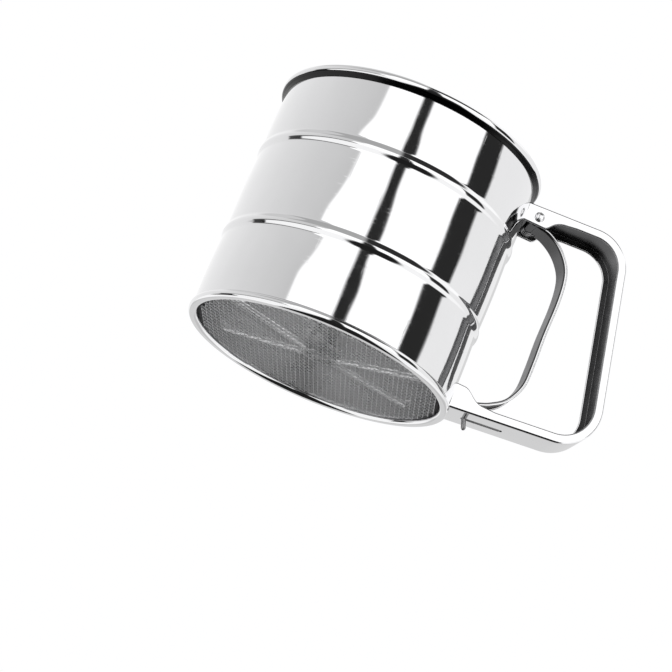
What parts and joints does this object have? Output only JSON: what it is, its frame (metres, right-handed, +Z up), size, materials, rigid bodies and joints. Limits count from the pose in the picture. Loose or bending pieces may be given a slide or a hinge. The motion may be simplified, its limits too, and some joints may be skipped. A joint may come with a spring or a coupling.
{
  "type": "flour sifter",
  "caption": "Round steel sifter cup with a wire mesh floor, a strap handle and a squeeze trigger that drags a rod and turns a wire agitator over the mesh.",
  "frame": {"origin": "centre of the bounding box on the surface the cup stands on", "axes": "+X from the cup towards the handle, +Y across the handle, +Z up along the cup's axis"},
  "size_m": [0.1544, 0.103, 0.0947],
  "materials": {
    "polished_steel": "mirror-polished stainless steel",
    "plain_steel": "plain drawn and stamped stainless steel",
    "spring_steel": "bright spring wire",
    "wire_mesh": "fine woven stainless wire cloth"
  },
  "bodies": {
    "cup": {"cup_body": "polished_steel", "mesh_ring": "polished_steel", "sieve_mesh": "wire_mesh", "fixed_handle": "polished_steel", "hinge_pin": "polished_steel", "hinge_spacer": "plain_steel", "return_spring": "spring_steel", "rod_guide": "plain_steel", "bridge_bar": "plain_steel", "pivot_post": "plain_steel", "pivot_washer_lower": "plain_steel", "pivot_washer_upper": "plain_steel", "pivot_spacer": "plain_steel"},
    "trigger": {"trigger": "polished_steel"},
    "rod": {"pull_rod": "plain_steel"},
    "agitator": {"agitator_hub": "plain_steel", "agitator_arm_1": "plain_steel", "agitator_arm_2": "plain_steel", "agitator_arm_3": "plain_steel", "agitator_arm_4": "plain_steel"}
  },
  "joints": [
    {"name": "trigger_squeeze", "type": "hinge", "parent": "cup", "child": "trigger", "pos_m": [0.02833, 0, 0.0846], "axis": [0, -1, 0], "range_deg": [0, 10], "stiffness_Nm_per_rad": 0.6, "springref_deg": -10.03, "deforming": ["return_spring"]},
    {"name": "rod_slide", "type": "slide", "parent": "cup", "child": "rod", "axis": [1, 0, 0], "range_m": [0, 0.014]},
    {"name": "agitator_turn", "type": "hinge", "parent": "cup", "child": "agitator", "pos_m": [-0.02567, 0, 0.0036], "axis": [0, 0, 1], "range_deg": [0, 50]}
  ],
  "couplings": [
    {"joint": "rod_slide", "follows": "trigger_squeeze", "m_per_rad": 0.076776},
    {"joint": "agitator_turn", "follows": "trigger_squeeze", "ratio": 4.814}
  ]
}
